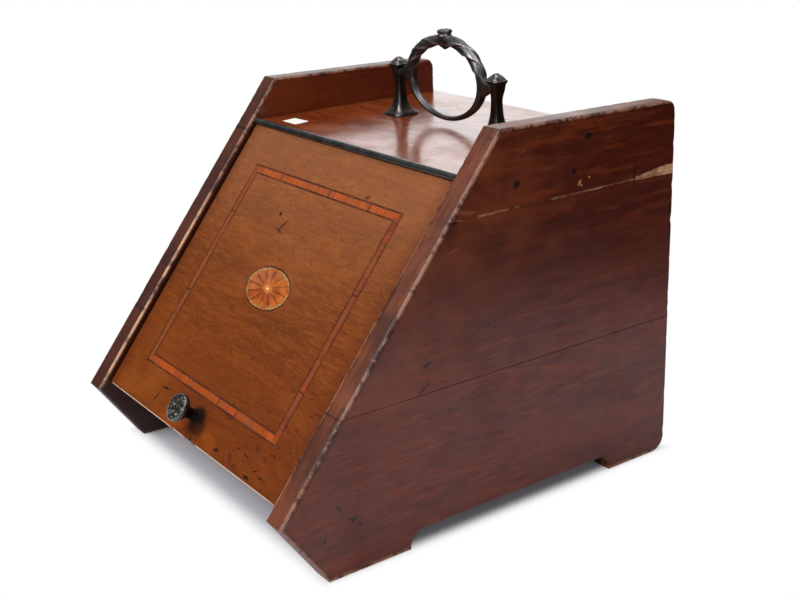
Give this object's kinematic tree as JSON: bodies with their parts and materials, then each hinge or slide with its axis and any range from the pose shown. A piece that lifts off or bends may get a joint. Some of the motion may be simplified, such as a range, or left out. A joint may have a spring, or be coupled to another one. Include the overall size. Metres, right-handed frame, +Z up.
{
  "type": "coal scuttle",
  "caption": "Wooden coal box with a sloping hinged flap inlaid with an oval patera, a swinging ring handle and a lift-out sheet-metal liner.",
  "frame": {"origin": "middle of the footprint, on the floor the feet stand on", "axes": "+X to the viewer's right as they face the flap, +Y from the flap to the back, +Z up"},
  "size_m": [0.35, 0.3914, 0.3649],
  "materials": {
    "case_wood": "old french polish, worn on the edges",
    "top_wood": "glossy old polish",
    "flap_wood": "satin old polish with dents",
    "inner_wood": "bare, dusty",
    "satinwood": "polished cross-grained veneer",
    "ebony": "dyed black stringing",
    "pale_inlay": "polished pale veneer",
    "shaded_inlay": "sand-shaded veneer",
    "dark_bronze": "blackened cast metal with rubbed highlights",
    "steel": "plain, tarnished",
    "black_sheet": "black japanned sheet"
  },
  "bodies": {
    "case": {"side_right_bottom_board": "case_wood", "side_right_middle_board": "case_wood", "side_right_top_board": "case_wood", "side_left_bottom_board": "case_wood", "side_left_middle_board": "case_wood", "side_left_top_board": "case_wood", "top_board": "top_wood", "back_board_lower": "inner_wood", "back_board_middle": "inner_wood", "back_board_upper": "inner_wood", "floor_board": "inner_wood", "front_sloping_board": "inner_wood", "flap_stop_left": "inner_wood", "flap_stop_right": "inner_wood", "hinge_top_leaf": "dark_bronze", "hinge_pin": "steel", "hinge_top_screw_1": "steel", "hinge_top_screw_2": "steel", "hinge_top_screw_3": "steel", "hinge_top_screw_4": "steel", "handle_post_left": "dark_bronze", "post_washer_left": "steel", "post_nut_left": "steel", "pivot_pin_left": "steel", "handle_post_right": "dark_bronze", "post_washer_right": "steel", "post_nut_right": "steel", "pivot_pin_right": "steel", "liner_body": "black_sheet", "liner_grip": "black_sheet", "liner_rivet_left": "steel", "liner_rivet_right": "steel"},
    "flap": {"flap_panel": "flap_wood", "banding_bottom": "satinwood", "banding_right": "satinwood", "banding_top": "satinwood", "banding_left": "satinwood", "stringing_outer": "ebony", "stringing_inner": "ebony", "patera_border": "ebony", "patera_tips": "pale_inlay", "patera_fan": "shaded_inlay", "hinge_flap_leaf": "dark_bronze", "hinge_flap_screw_1": "steel", "hinge_flap_screw_2": "steel", "hinge_flap_screw_3": "steel", "hinge_flap_screw_4": "steel", "knob": "dark_bronze", "knob_bolt": "steel"},
    "ring": {"ring_handle": "dark_bronze"}
  },
  "joints": [
    {"name": "flap_hinge", "type": "hinge", "parent": "case", "child": "flap", "pos_m": [0, -0.01279, 0.2795], "axis": [-1, 0, 0], "range_deg": [0, 150]},
    {"name": "handle_swing", "type": "hinge", "parent": "case", "child": "ring", "pos_m": [-0.006, 0.09875, 0.321], "axis": [1, 0, 0], "range_deg": [-140, 140]}
  ]
}
